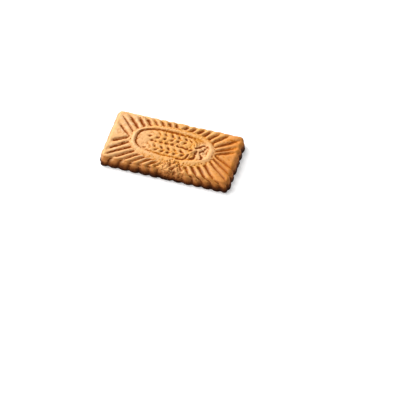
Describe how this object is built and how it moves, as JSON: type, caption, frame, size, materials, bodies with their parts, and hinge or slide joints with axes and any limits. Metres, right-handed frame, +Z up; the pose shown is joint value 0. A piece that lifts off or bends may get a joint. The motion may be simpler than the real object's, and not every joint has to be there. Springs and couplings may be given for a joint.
{
  "type": "speculoos biscuit",
  "caption": "Small rectangular spice biscuit with fans of diagonal ribs, a scalloped edge and a sheaf of grain in low relief inside an oval rim.",
  "frame": {"origin": "middle of the flat underside, at the centre of the outline", "axes": "+X along the length, towards the knot and stalks of the sheaf; +Y across the width; +Z up, out of the patterned face"},
  "size_m": [0.06, 0.0306, 0.0059],
  "materials": {
    "crust": "matte baked crust, caramel brown, darker in grooves and at the foot, finely grained"
  },
  "bodies": {
    "root": {"biscuit": "crust"}
  },
  "joints": []
}
